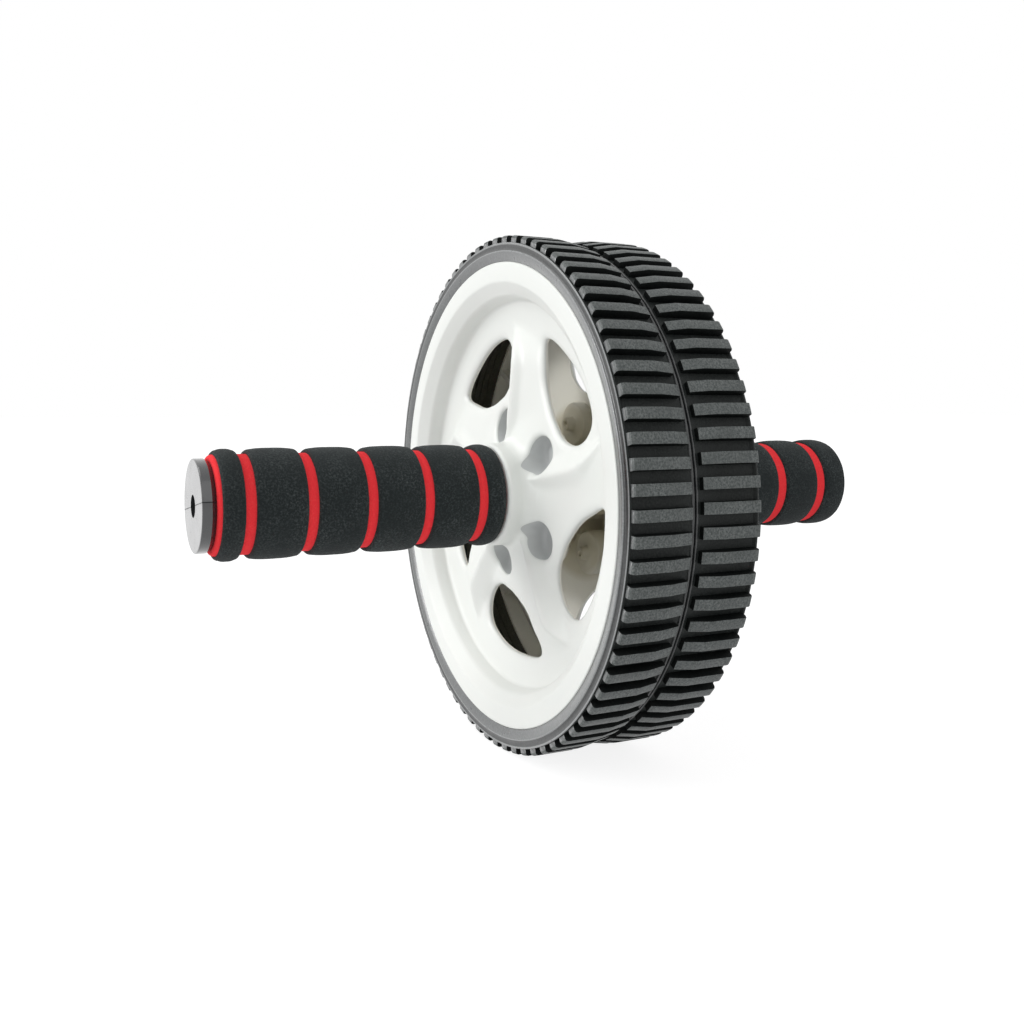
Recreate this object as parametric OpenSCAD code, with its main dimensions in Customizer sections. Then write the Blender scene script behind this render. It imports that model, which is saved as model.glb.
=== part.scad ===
/* [Tyre] */
// Radius over the flat tops of the tread lugs
tyre_r = 92.5; // [88:0.5:100]
// Height of a lug above the tread floor
lug_h = 3.2; // [2:0.1:4]
// Thickness of the tyre from its seat on the rim to the tread floor
tread_t = 5.85; // [5:0.05:8]
// Number of lugs round each tyre, divisible by 4 so that one lug is lowest
lug_count = 76; // [60:4:84]
// Width of a lug along the tread
lug_w = 3.8; // [3:0.1:4.4]
// Distance from the middle plane to the outer ends of the lugs
tread_half = 23.05; // [21:0.05:26]
// Distance from the middle plane to the inner ends of the lugs
seam_half = 2.05; // [1.5:0.05:4]
// Drop of the lug tops towards the middle plane, which crowns the tread
crown_drop = 1.2; // [0.4:0.1:1.6]
// Chamfer of the lug tops at their outer ends
lug_edge = 0.6; // [0.2:0.1:1]
// Depth of the groove in the outer shoulder
shoulder_d = 1.9; // [1:0.1:2.4]
// Angle by which the lugs of the left tyre are out of line
left_lug_lead = 0.8; // [0:0.1:1.1]

/* [Rim] */
// Radial width of the flat rim lip
lip_w = 7.3; // [5:0.1:9]
// Height of the lip above the ends of the lugs
lip_proud = 0.5; // [0.3:0.1:1.5]
// Depth from the lip to the foot of the rim wall
rim_depth = 8.3; // [6:0.1:10]
// Distance from the middle plane at which the tyre seat ends
seat_half = 12; // [9:0.5:14]
// Thickness of the moulded walls
wall = 2.4; // [1.8:0.1:3]

/* [Disc] */
// Number of arms, windows and recesses
arm_count = 5; // [5:1:5]
// Width of the disc between the windows and the foot of the rim wall
window_margin = 10.7; // [9:0.1:14]
// Radius to the inner edge of the windows
window_r_in = 37.3; // [36:0.1:42]
// Angle from the middle of a window to its sharp end
window_lead = 23.5; // [18:0.5:25]
// Distance from the middle plane to the disc at the outer edge of the windows
disc_half = 13.5; // [12.5:0.1:15]
// Height of each arm's crest above the disc
arm_rise = 5.2; // [2:0.1:5.6]
// Height of each arm's shelf above the disc
shelf_rise = 2.5; // [1:0.1:2.6]

/* [Hub] */
// Radius of the raised hub boss
hub_r = 18.5; // [17:0.1:20]
// Distance from the middle plane to the face of the hub boss
hub_half = 26.3; // [25:0.1:28]
// Radius of the round recesses
recess_r = 6.8; // [5.5:0.1:6.9]
// Radius of the ring that the recesses lie on
recess_ring_r = 25.4; // [25.4:0.1:27]
// Angle from the middle of a window to the next recess
recess_lead = 12; // [8:1:16]
// Distance from the middle plane to the backs of the recess cups
cup_half = 8; // [6:0.1:10]

/* [Axle] */
// Radius of the steel axle
axle_r = 6; // [5:0.1:6.5]
// Radial clearance of the axle in the hub bushes
running_gap = 0.06; // [0.02:0.01:0.1]
// Distance from the middle plane to the ends of the axle
axle_half = 119; // [114:0.5:122]
// Radial wall of the hub bushes
bush_wall = 2.4; // [1.5:0.1:3]
// Thickness of the three washers
washer_t = 0.8; // [0.5:0.1:1.2]

/* [Handles] */
// Distance from the middle plane to the ends of the handles
handle_half = 130; // [127:0.5:138]
// Gap between the hub boss and the inner ends of the foam
foam_gap = 0.4; // [0.3:0.1:3]
// Length of the core that shows beyond the foam
end_show = 4.6; // [4.4:0.1:8]
// Outer radius of the core under the foam
core_r = 14; // [13:0.1:14.5]
// Radius of the flange at the end of the core
core_end_r = 15.3; // [14.8:0.1:16]
// Thickness of the core's walls and ribs
core_wall = 2.5; // [2:0.1:3]
// Radius of the hole in the end of the core
end_hole_r = 3.7; // [2.5:0.1:4.5]
// Tilt of the plane in which the two half shells part
split_tilt = 9; // [0:1:30]
// Outer radius of the inner foam sleeve
sleeve_r = 16.4; // [16:0.1:17]
// Outer radius of the foam bands
band_r = 18.15; // [17.6:0.05:19.5]
// Distance from the inner end of the foam to the middle of the innermost groove
first_groove = 8.5; // [7:0.1:11]
// Distance from the outer end of the foam to the middle of the outermost groove
last_groove = 10.2; // [8:0.1:12]
// Width of a groove at its bottom
groove_w = 3.4; // [2:0.1:5]
// Number of grooves in each grip
groove_count = 5; // [5:1:5]

/* [Hidden] */
$fn = 96;
// Clearance between pieces that are pushed together
seat_gap = 0.05;
// Gap between faces that turn past each other
turn_gap = 0.05;
// Gap between the two tyres at the middle plane
tyre_gap = 0.4;
// How far joined shapes reach into each other
bite = 0.6;
// Small reach of a cutter past a face
over = 1;
right_turn = 42.5;
left_turn = -17;
sector = 360 / arm_count;

floor_r = tyre_r - lug_h;
seat_r = floor_r - tread_t;
drum_r = seat_r - seat_gap;
lip_half = tread_half + lip_proud;
foot_half = lip_half - rim_depth;
lip_in_r = drum_r - lip_w;
crease_r = lip_in_r - 4.8;
foot_r = crease_r - 1.1;
crease_half = foot_half + 0.54 * rim_depth;
window_r_out = foot_r - window_margin;
dish_in_r = recess_ring_r + 6.6;
dish_mid_r = (recess_ring_r + window_r_out) / 2 + 1.5;
bush_or = axle_r + running_gap + bush_wall;
bush_flange_r = bush_or + 2.5;
bush_flange_t = 1.2;
bush_end = hub_half + turn_gap - 0.1;
hub_start = washer_t / 2 + turn_gap;
tube_r = bush_or + seat_gap + wall;
core_start = hub_half + washer_t + 2 * turn_gap;
flange_w = 3.1;
flange_taper = 2.2;
foam_start = hub_half + foam_gap;
foam_end = handle_half - end_show;
groove_start = foam_start + first_groove;
groove_pitch = (foam_end - last_groove - groove_start) / (groove_count - 1);
sleeve_edge = 1.4;
groove_d = 0.9;
groove_half = axle_half - 8;
rib_pitch = 22;
rib_count = 4;

// Points of a circular arc in the plane of a section
function arc(x, y, r, a0, a1, n = 5) =
    [for (i = [0:n]) [x + r * cos(a0 + (a1 - a0) * i / n), y + r * sin(a0 + (a1 - a0) * i / n)]];

// One coordinate of a smooth closed curve through four neighbouring points
function smooth(a, b, c, d, t) =
    0.5 * (2 * b + (c - a) * t + (2 * a - 5 * b + 4 * c - d) * t * t + (3 * b - a - 3 * c + d) * t * t * t);

// Window outline as shares of its half angle and of its radial height, sharp end first
window_shape = [[-0.97, 0.96], [-0.84, 0.54], [-0.58, 0.24], [-0.15, 0.05], [0.26, 0], [0.64, 0.04],
                [0.93, 0.25], [1, 0.58], [0.83, 0.9], [0.4, 1], [-0.3, 1]];
window_curve = [for (i = [0:len(window_shape) - 1], t = [0:0.25:0.75])
    let (n = len(window_shape), a = window_shape[(i + n - 1) % n], b = window_shape[i],
         c = window_shape[(i + 1) % n], d = window_shape[(i + 2) % n])
    smooth(a, b, c, d, t)];

// Point at a clockwise angle and a radius, seen from outside the wheel
function clock(angle, r) = [r * sin(angle), r * cos(angle)];

module right_side() {
    rotate([90, 0, 0]) children();
}

module left_side() {
    rotate([90, 0, 180]) children();
}

module ring(r_in, r_out, z0, z1) {
    rotate_extrude()
        translate([r_in, z0]) square([r_out - r_in, z1 - z0]);
}

// Section of the moulded wheel: hub boss, dished disc, rim wall, lip and tyre seat
module wheel_section() {
    front = concat(
        [[bush_flange_r + 0.3, hub_half]],
        arc(hub_r - 1.6, hub_half - 1.6, 1.6, 90, 0),
        [[hub_r, hub_half - 5]],
        arc(hub_r + 4.5, hub_half - 5, 4.5, 180, 240),
        [[recess_ring_r + 1, disc_half + 2.7], [dish_in_r, disc_half + 1.4], [dish_mid_r, disc_half + 0.4],
         [window_r_out, disc_half], [foot_r - 3, foot_half - 0.9]],
        arc(foot_r - 1.5, foot_half + 1.1, 1.6, -70, 0, 4),
        [[crease_r, crease_half]],
        arc(lip_in_r + 0.9, lip_half - 1.9, 1.9, 140, 90, 4),
        arc(drum_r - 0.5, lip_half - 0.5, 0.5, 90, 0, 2));
    back = [
        [drum_r, seat_half], [drum_r - wall, seat_half],
        [drum_r - wall, lip_half - wall], [lip_in_r + 1.6, lip_half - wall],
        [crease_r + wall, crease_half - 1], [foot_r + wall, foot_half - 0.5],
        [foot_r + 1.2, foot_half - wall], [foot_r - 3, foot_half - 0.9 - wall],
        [window_r_out, disc_half - wall], [dish_mid_r, disc_half + 0.4 - wall], [dish_in_r, disc_half + 1.4 - wall],
        [recess_ring_r, disc_half + 3 - wall], [hub_r - wall, disc_half + 4.5],
        [hub_r - wall, hub_half - wall - 1.2], [tube_r, hub_half - wall - 1.2],
        [tube_r, hub_start], [bush_or + seat_gap, hub_start],
        [bush_or + seat_gap, hub_half - bush_flange_t - 0.1],
        [bush_flange_r + 0.3, hub_half - bush_flange_t - 0.1]];
    polygon(concat(front, back));
}

module window_cut() {
    pts = [for (p = window_curve) clock(p[0] * window_lead,
        window_r_in + (window_r_out - window_r_in) * p[1])];
    linear_extrude(height = lip_half) polygon(pts);
}

// Length of raised arm along its crest, with a flank on its left and a shelf on its right, seen from outside
module arm_run(length, fall, shelf_w) {
    drop = arm_rise - shelf_rise;
    rotate([-90 - fall, 0, 0])
        mirror([0, 1, 0])
            linear_extrude(height = length)
                polygon([
                    [-8.6, -5.4], [-0.3, -0.2], [0.4, -0.2], [drop / 0.7, -drop],
                    [drop / 0.7 + shelf_w, -drop - 0.15 * shelf_w], [drop / 0.7 + 0.7 * shelf_w, -drop - 3.4],
                    [-5.6, -6.4]]);
}

// Fall of an arm's shelf towards the rim
module shelf_end() {
    rotate([-90 - 12, 0, 0])
        mirror([0, 1, 0])
            linear_extrude(height = 11.5)
                polygon([[-6, 1], [0, 0], [11, -1.8], [9, -3.4], [-5, -3.4]]);
}

// Raised arm: a level run from the hub boss, then a run that falls and bends to the left
module arm() {
    knee = window_r_out - 9.5;
    start = hub_r - 1;
    intersection() {
        rotate([0, 0, -sector / 2]) {
            translate([-2.6, start, disc_half + arm_rise + 0.6])
                rotate([0, 0, -2.7]) arm_run(knee - start, 1.2, 11.5);
            translate([-1.2, knee - 1.6, disc_half + arm_rise + 0.1])
                rotate([0, 0, 29]) arm_run(13, 17, 1.2);
            translate([3.5, knee - 2.5, disc_half + shelf_rise - 0.3]) shelf_end();
        }
        // Keeps the arm out of the hollow behind the disc
        ring(start - 0.5, foot_r - 5, disc_half - wall / 2, lip_half);
    }
}

// Rib behind the rim, between the rim wall and the tyre seat
module rim_rib() {
    rotate([90, 0, 0])
        linear_extrude(height = wall, center = true)
            polygon([
                [drum_r - wall / 2, seat_half + 0.4], [drum_r - wall / 2, lip_half - wall / 2],
                [lip_in_r + 1.8, lip_half - wall / 2], [crease_r + wall / 2 + 0.2, crease_half - 1],
                [foot_r + wall / 2 + 0.2, foot_half], [foot_r + wall / 2 + 0.2, foot_half - wall + 0.2]]);
}

module wheel() {
    difference() {
        union() {
            rotate_extrude() wheel_section();
            for (i = [0:arm_count - 1]) {
                rotate([0, 0, -i * sector]) {
                    arm();
                    // Cup behind the round recess
                    rotate([0, 0, -recess_lead])
                        translate([0, recess_ring_r, cup_half])
                            cylinder(r = recess_r + 1.2, h = disc_half + 3 - cup_half);
                    // Gate nub on the back of the cup
                    rotate([0, 0, -recess_lead])
                        translate([0, recess_ring_r, cup_half - 3])
                            cylinder(r = 2.5, h = 3 + bite);
                    // Web between the hub boss and the bush tube
                    rotate([0, 0, -recess_lead - sector / 2])
                        translate([-wall / 2, tube_r - bite, disc_half - 2])
                            cube([wall, hub_r - wall - tube_r + 2 * bite, hub_half - disc_half]);
                }
            }
            for (i = [0:2 * arm_count - 1])
                rotate([0, 0, (i + 0.5) * sector / 2]) rim_rib();
        }
        for (i = [0:arm_count - 1])
            rotate([0, 0, -i * sector]) {
                window_cut();
                rotate([0, 0, -recess_lead])
                    translate([0, recess_ring_r, cup_half + 1.5])
                        cylinder(r = recess_r, h = hub_half);
                rotate([0, 0, -recess_lead])
                    translate([0, recess_ring_r, cup_half - 3 - over])
                        cylinder(r = 1.1, h = 3 + over + 0.5);
            }
    }
}

module right_wheel() {
    color("whitesmoke") right_side() rotate([0, 0, -right_turn]) wheel();
}

module left_wheel() {
    color("whitesmoke") left_side() rotate([0, 0, -left_turn]) wheel();
}

// Section of the tyre body, with a locating step inside and a groove in the outer shoulder
module tyre_section() {
    step_r = seat_r - 1.5;
    side = tread_half + 0.15;
    polygon(concat(
        [[step_r, tyre_gap / 2]],
        [for (i = [1:3]) each [[step_r, 2.6 * i], [step_r - 0.8, 2.6 * i + 0.3], [step_r - 0.8, 2.6 * i + 0.9],
                               [step_r, 2.6 * i + 1.2]]],
        [[step_r, seat_half - seat_gap], [seat_r, seat_half - seat_gap], [seat_r, side]],
        arc(floor_r - 3.9, side - 0.5, 0.5, 90, 0, 2),
        [[floor_r - 3.2, side - shoulder_d], [floor_r - 1.4, side - shoulder_d], [floor_r - 1.2, side - 0.3],
         [floor_r - 1, side - 0.05], [floor_r - 0.3, side - 0.05], [floor_r, side - 0.3]],
        [[floor_r, seam_half - 0.3], [floor_r + 0.3, seam_half - 0.6]],
        arc(floor_r - 0.4, tyre_gap / 2 + 0.7, 0.7, 90, 180, 4)));
}

// One lug, which falls towards the middle plane and ends square at the shoulder
module lug() {
    half = (tread_half - seam_half) / 2;
    mid = seam_half + half;
    top = [for (u = [-1, -0.66, -0.33])
        [mid + half * u, tyre_r - crown_drop * max(0, -u - 0.33) / 0.67]];
    rotate([90, 0, 90])
        linear_extrude(height = lug_w, center = true)
            polygon([for (p = concat(
                [[seam_half, floor_r - bite]], top,
                [[tread_half - lug_edge, tyre_r], [tread_half, tyre_r - lug_edge],
                 [tread_half, floor_r - bite]])) [p[1], p[0]]]);
}

module tyre() {
    union() {
        rotate_extrude() tyre_section();
        for (i = [0:lug_count - 1])
            rotate([0, 0, i * 360 / lug_count + 90]) lug();
    }
}

module right_tyre() {
    color("dimgray") right_side() tyre();
}

module left_tyre() {
    color("dimgray") left_side() rotate([0, 0, -left_lug_lead]) tyre();
}

module hub_bush() {
    rotate_extrude()
        polygon([
            [axle_r + running_gap, hub_start], [bush_or, hub_start],
            [bush_or, bush_end - bush_flange_t], [bush_flange_r, bush_end - bush_flange_t],
            [bush_flange_r, bush_end], [axle_r + running_gap, bush_end]]);
}

module right_hub_bush() {
    color("ivory") right_side() hub_bush();
}

module left_hub_bush() {
    color("ivory") left_side() hub_bush();
}

module axle() {
    color("silver")
        right_side()
            rotate_extrude()
                polygon([
                    [0, -axle_half], [axle_r - 0.8, -axle_half], [axle_r, -axle_half + 0.8],
                    [axle_r, -groove_half - core_wall - 0.2], [axle_r - groove_d, -groove_half - core_wall - 0.2],
                    [axle_r - groove_d, -groove_half], [axle_r, -groove_half],
                    [axle_r, groove_half], [axle_r - groove_d, groove_half],
                    [axle_r - groove_d, groove_half + core_wall + 0.2], [axle_r, groove_half + core_wall + 0.2],
                    [axle_r, axle_half - 0.8], [axle_r - 0.8, axle_half], [0, axle_half]]);
}

module washer() {
    ring(axle_r + 0.15, bush_flange_r, 0, washer_t);
}

module centre_washer() {
    color("silver") right_side() translate([0, 0, -washer_t / 2]) washer();
}

module right_thrust_washer() {
    color("silver") right_side() translate([0, 0, hub_half + turn_gap]) washer();
}

module left_thrust_washer() {
    color("silver") left_side() translate([0, 0, hub_half + turn_gap]) washer();
}

// Whole core: a tube with end walls, ribs that hold the axle and a flange at the outer end
module core() {
    difference() {
        rotate_extrude()
            polygon(concat(
                [[0, core_start], [core_r, core_start],
                 [core_r, handle_half - flange_w - flange_taper - 0.6]],
                arc(core_r + 3.6, handle_half - flange_w - flange_taper - 0.6, 3.6, 180, 141, 3),
                [[core_end_r, handle_half - flange_w]],
                arc(core_end_r - 0.4, handle_half - 0.4, 0.4, 0, 90, 2),
                [[0, handle_half]]));
        // Hollow between the ribs
        for (i = [0:rib_count - 1])
            ring(0, core_r - core_wall, core_start + core_wall + i * rib_pitch,
                 core_start + (i + 1) * rib_pitch);
        ring(0, core_r - core_wall, groove_half + core_wall + 0.2 - 0.1, handle_half - core_wall - 0.5);
        // Seat of the axle
        ring(0, axle_r + seat_gap, core_start - over, groove_half + 0.1);
        ring(0, axle_r - groove_d + seat_gap, groove_half, groove_half + core_wall + over);
        ring(0, end_hole_r, handle_half - core_wall - over, handle_half + over);
    }
}

module half_space(upper) {
    reach = 2 * core_end_r;
    rotate([0, 0, split_tilt])
        translate([-reach, upper ? seat_gap / 2 : -reach - seat_gap / 2, core_start - over])
            cube([2 * reach, reach, handle_half]);
}

module core_half(upper) {
    intersection() {
        core();
        half_space(upper);
    }
}

module right_core_upper() {
    color("dimgray") right_side() core_half(true);
}

module right_core_lower() {
    color("gray") right_side() core_half(false);
}

module left_core_upper() {
    color("dimgray") left_side() core_half(true);
}

module left_core_lower() {
    color("gray") left_side() core_half(false);
}

module inner_sleeve() {
    rotate_extrude()
        polygon([
            [core_r + seat_gap, foam_start], [sleeve_r - sleeve_edge, foam_start],
            [sleeve_r, foam_start + sleeve_edge / 2], [sleeve_r, foam_end - sleeve_edge],
            [sleeve_r - sleeve_edge, foam_end], [core_r + seat_gap, foam_end]]);
}

module right_inner_sleeve() {
    color("red") right_side() inner_sleeve();
}

module left_inner_sleeve() {
    color("red") left_side() inner_sleeve();
}

// Foam band number i, counted from the wheel outwards
module foam_band(i) {
    start = i == 1 ? foam_start : groove_start + (i - 2) * groove_pitch + groove_w / 2;
    end = i == groove_count + 1 ? foam_end - sleeve_edge : groove_start + (i - 1) * groove_pitch - groove_w / 2;
    thick = band_r - sleeve_r - seat_gap;
    side_r = band_r - 0.22 * thick;
    edge = (i == 1 ? 0.7 : 0.42) * thick;
    last = (i == groove_count + 1 ? 0.7 : 0.42) * thick;
    rise = 0.3 * (end - start);
    rotate_extrude()
        polygon([
            [sleeve_r + seat_gap, start + (i == 1 ? sleeve_edge / 2 : 0)], [side_r - edge, start],
            [side_r - edge * 0.3, start + edge * 0.4], [side_r, start + edge],
            [(side_r + 3 * band_r) / 4, start + edge + rise / 2], [band_r, start + edge + rise],
            [band_r, end - last - rise], [(side_r + 3 * band_r) / 4, end - last - rise / 2],
            [side_r, end - last], [side_r - last * 0.3, end - last * 0.4],
            [side_r - last, end], [sleeve_r + seat_gap, end]]);
}

module right_foam_band(i) {
    color("darkslategray") right_side() foam_band(i);
}

module left_foam_band(i) {
    color("darkslategray") left_side() foam_band(i);
}

axle();
right_wheel();
left_wheel();
right_tyre();
left_tyre();
right_hub_bush();
left_hub_bush();
centre_washer();
right_thrust_washer();
left_thrust_washer();
right_core_upper();
right_core_lower();
left_core_upper();
left_core_lower();
right_inner_sleeve();
left_inner_sleeve();
for (i = [1:groove_count + 1])
    right_foam_band(i);
for (i = [1:groove_count + 1])
    left_foam_band(i);
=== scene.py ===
"""Dressed model of an ab wheel roller.

Two white five-armed wheels with black lugged tyres turn on a steel axle between two
handles, whose plastic cores carry a red foam sleeve with six black foam bands each.
Pieces are drawn in a side's own frame, in millimetres: x to the right and y up, seen
from outside, and the height outward from the plane between the two wheels.
"""

import logging
import math
from collections.abc import Callable
from dataclasses import dataclass
from enum import Enum, IntEnum

import bmesh
import bpy
import numpy as np
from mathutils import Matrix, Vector
from mathutils.geometry import delaunay_2d_cdt


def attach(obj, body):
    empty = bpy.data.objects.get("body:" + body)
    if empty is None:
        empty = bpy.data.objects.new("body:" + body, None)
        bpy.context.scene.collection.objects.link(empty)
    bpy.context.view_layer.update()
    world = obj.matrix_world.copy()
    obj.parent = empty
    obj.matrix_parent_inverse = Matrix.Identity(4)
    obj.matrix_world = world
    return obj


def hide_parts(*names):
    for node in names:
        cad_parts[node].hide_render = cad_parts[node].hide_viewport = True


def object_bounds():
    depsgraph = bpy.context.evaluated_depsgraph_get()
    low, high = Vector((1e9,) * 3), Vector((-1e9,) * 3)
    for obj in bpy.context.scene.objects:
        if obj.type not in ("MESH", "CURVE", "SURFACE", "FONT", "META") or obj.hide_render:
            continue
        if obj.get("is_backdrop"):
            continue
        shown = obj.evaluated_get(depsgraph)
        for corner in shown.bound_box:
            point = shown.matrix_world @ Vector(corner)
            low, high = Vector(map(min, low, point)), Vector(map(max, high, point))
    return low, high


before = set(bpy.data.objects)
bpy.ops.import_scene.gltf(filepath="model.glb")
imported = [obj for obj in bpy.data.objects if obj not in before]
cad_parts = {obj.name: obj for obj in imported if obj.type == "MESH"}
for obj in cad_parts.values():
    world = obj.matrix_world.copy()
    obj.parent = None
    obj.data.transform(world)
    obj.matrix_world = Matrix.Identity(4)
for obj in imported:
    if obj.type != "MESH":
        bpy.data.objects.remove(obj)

Colour = tuple[float, float, float]
Span = tuple[float, float]
Profile = list[tuple[float, float]]
Table = tuple[tuple[float, float], ...]
Loops = list[np.ndarray]
Socket = bpy.types.NodeSocket
Finish = bpy.types.Material
Piece = bpy.types.Object

LOG = logging.getLogger("ab_wheel_roller")
MM = 0.001
WELD = 0.004 * MM
ARMS = 5
SECTOR = 360.0 / ARMS
# Most values of a noise lie between these two.
MOST = (0.3, 0.7)


class Side(Enum):
    """The two sides of the roller, by the word that their parts' names start with."""

    RIGHT = "right"
    LEFT = "left"

    def place(self, points: np.ndarray) -> np.ndarray:
        """Move points from a side's own frame into the shared frame.

        Args:
            points: Rows of x, y and height, in millimetres.

        Returns:
            The same points in the shared frame, in metres.
        """
        hand = 1.0 if self is Side.RIGHT else -1.0
        x, y, h = points[:, 0], points[:, 1], points[:, 2]
        return np.stack([hand * x, -hand * h, y], axis=1) * MM


class Slot(Enum):
    """The record's material slots of the pieces that stand in for plain solids."""

    WHITE_PLASTIC = "white_plastic"
    TYRE_RUBBER = "tyre_rubber"
    BLACK_FOAM = "black_foam"
    RED_FOAM = "red_foam"


class Shell(IntEnum):
    """The surfaces of a wheel, each with its own finish, by the marks of the faces. The back's finish carries
    painted light, with painted shade round the axle, and the recess walls' finish carries painted shade.
    """

    OUTSIDE = 0
    INSIDE = 1
    WELL = 2


class Skin(IntEnum):
    """The surfaces of a tyre, each with its own finish, by the marks of the faces. Apart from the tops, the
    finishes carry painted shade (flanks, floor, band) and painted light (wall, crest, inside).
    """

    FLANK = 0
    TOP = 1
    WALL = 2
    FLOOR = 3
    INSIDE = 4
    BAND = 5
    CREST = 6


def polar(clock: np.ndarray, r: np.ndarray) -> tuple[np.ndarray, np.ndarray]:
    """Turn clock angles and radii into plane coordinates.

    Args:
        clock: Clockwise angles from twelve o'clock, in degrees.
        r: Radii in millimetres.

    Returns:
        The x and y coordinates.
    """
    a = np.radians(clock)
    return r * np.sin(a), r * np.cos(a)


def circle(r: float, n: int, centre: np.ndarray | Span = (0.0, 0.0)) -> np.ndarray:
    """Points of a circle, clockwise.

    Args:
        r: Its radius.
        n: Number of points.
        centre: Its centre.

    Returns:
        Rows of x and y.
    """
    x, y = polar(np.arange(n) * 360.0 / n, np.full(n, r))
    return np.stack([x, y], axis=1) + centre


def ring(r: float, h: float, n: int, centre: np.ndarray | Span = (0.0, 0.0)) -> np.ndarray:
    """Points of a circle at a height, clockwise."""
    return np.column_stack([circle(r, n, centre), np.full(n, h)])


def arc(cx: float, cy: float, r: float, start: float, end: float, n: int) -> Profile:
    """Points of a circular arc in the plane of a section.

    Args:
        cx: Radius coordinate of the centre.
        cy: Height coordinate of the centre.
        r: Radius of the arc.
        start: First angle in degrees.
        end: Last angle in degrees.
        n: Number of steps.

    Returns:
        The points, as radius and height.
    """
    angles = np.radians(np.linspace(start, end, n + 1))
    return [(cx + r * math.cos(a), cy + r * math.sin(a)) for a in angles]


def spin(points: np.ndarray, clock: float) -> np.ndarray:
    """Turn points clockwise about the axle.

    Args:
        points: Rows whose first two columns are x and y.
        clock: The angle in degrees.

    Returns:
        The turned points.
    """
    a = math.radians(clock)
    out = points.copy()
    out[:, 0] = points[:, 0] * math.cos(a) + points[:, 1] * math.sin(a)
    out[:, 1] = -points[:, 0] * math.sin(a) + points[:, 1] * math.cos(a)
    return out


def read_off(table: Table | Profile, r: np.ndarray) -> np.ndarray:
    """Read values off a table over the radius, on straight lines between its entries.

    Args:
        table: Pairs of a radius and the value there.
        r: The radii to read at.

    Returns:
        The values.
    """
    return np.interp(r, *zip(*table))


def resample(loop: np.ndarray, n: int) -> np.ndarray:
    """Space the points of a closed loop evenly.

    Args:
        loop: The points of the loop, in order.
        n: How many points the new loop has.

    Returns:
        The evenly spaced points.
    """
    closed = np.vstack([loop, loop[:1]])
    steps = np.linalg.norm(np.diff(closed, axis=0), axis=1)
    along = np.concatenate([[0.0], np.cumsum(steps)])
    wanted = np.linspace(0.0, along[-1], n, endpoint=False)
    return np.stack([np.interp(wanted, along, closed[:, i]) for i in range(loop.shape[1])], axis=1)


def outset(loop: np.ndarray, d: float) -> np.ndarray:
    """Move a closed loop outward along its normals.

    Args:
        loop: The points of the loop.
        d: The distance.

    Returns:
        The moved points.
    """
    tangent = np.roll(loop, -1, axis=0) - np.roll(loop, 1, axis=0)
    tangent /= np.linalg.norm(tangent, axis=1)[:, None]
    normal = np.stack([tangent[:, 1], -tangent[:, 0]], axis=1)
    area = 0.5 * np.sum(loop[:, 0] * np.roll(loop[:, 1], -1) - np.roll(loop[:, 0], -1) * loop[:, 1])
    return loop + normal * (d if area > 0 else -d)


def distance_to_loop(points: np.ndarray, loop: np.ndarray) -> np.ndarray:
    """Measure how far points lie from a closed loop, negative inside it.

    Args:
        points: Rows of plane coordinates.
        loop: The points of the loop, in order.

    Returns:
        One signed distance for each point.
    """
    a, b = loop, np.roll(loop, -1, axis=0)
    edge = b - a
    best = np.full(len(points), np.inf)
    crossings = np.zeros(len(points), int)
    for i in range(len(loop)):
        rel = points - a[i]
        t = np.clip(rel @ edge[i] / (edge[i] @ edge[i]), 0.0, 1.0)
        best = np.minimum(best, np.linalg.norm(rel - t[:, None] * edge[i], axis=1))
        above_a, above_b = points[:, 1] < a[i, 1], points[:, 1] < b[i, 1]
        x = a[i, 0] + (points[:, 1] - a[i, 1]) / (edge[i, 1] or 1e-12) * edge[i, 0]
        crossings += (above_a != above_b) & (points[:, 0] < x)
    return np.where(crossings % 2 == 1, -best, best)


def within(points: np.ndarray, loop: np.ndarray, reach: float) -> np.ndarray:
    """Which points are within a reach of a loop's middle."""
    return np.linalg.norm(points - loop.mean(axis=0), axis=1) < reach


def lip_fall(d: np.ndarray, width: float, drop: float) -> np.ndarray:
    """How far a rounded lip falls off towards an opening.

    Args:
        d: Distances from the opening.
        width: Width of the lip.
        drop: Its fall at the opening.

    Returns:
        The falls.
    """
    share = np.clip(1 - d / width, 0, 1)
    return drop * (1 - np.sqrt(1 - share**2))


def soft_max(a: np.ndarray, b: np.ndarray, width: float) -> np.ndarray:
    """The greater of two heights, with a rounded inner corner where they meet.

    Args:
        a: The first heights.
        b: The second heights.
        width: How wide the rounding is.

    Returns:
        The joined heights.
    """
    return 0.5 * (a + b + np.sqrt((a - b) ** 2 + width**2))


def soft_min(a: np.ndarray, b: np.ndarray, width: float) -> np.ndarray:
    """The lesser of two heights, with a rounded crest where they meet."""
    return -soft_max(-a, -b, width)


def put(name: str, data: bpy.types.ID) -> Piece:
    """Put a new object with a mesh, lamp or camera in the scene.

    Args:
        name: The object's name.
        data: Its mesh, lamp or camera.

    Returns:
        The object.
    """
    obj = bpy.data.objects.new(name, data)
    bpy.context.scene.collection.objects.link(obj)
    return obj


def stand_in(obj: Piece, body: str, node: str) -> None:
    """Let a piece ride on a body in place of a plain solid.

    Args:
        obj: The piece.
        body: The body that it moves with.
        node: The solid that it stands for.
    """
    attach(obj, body)
    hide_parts(node)


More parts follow.
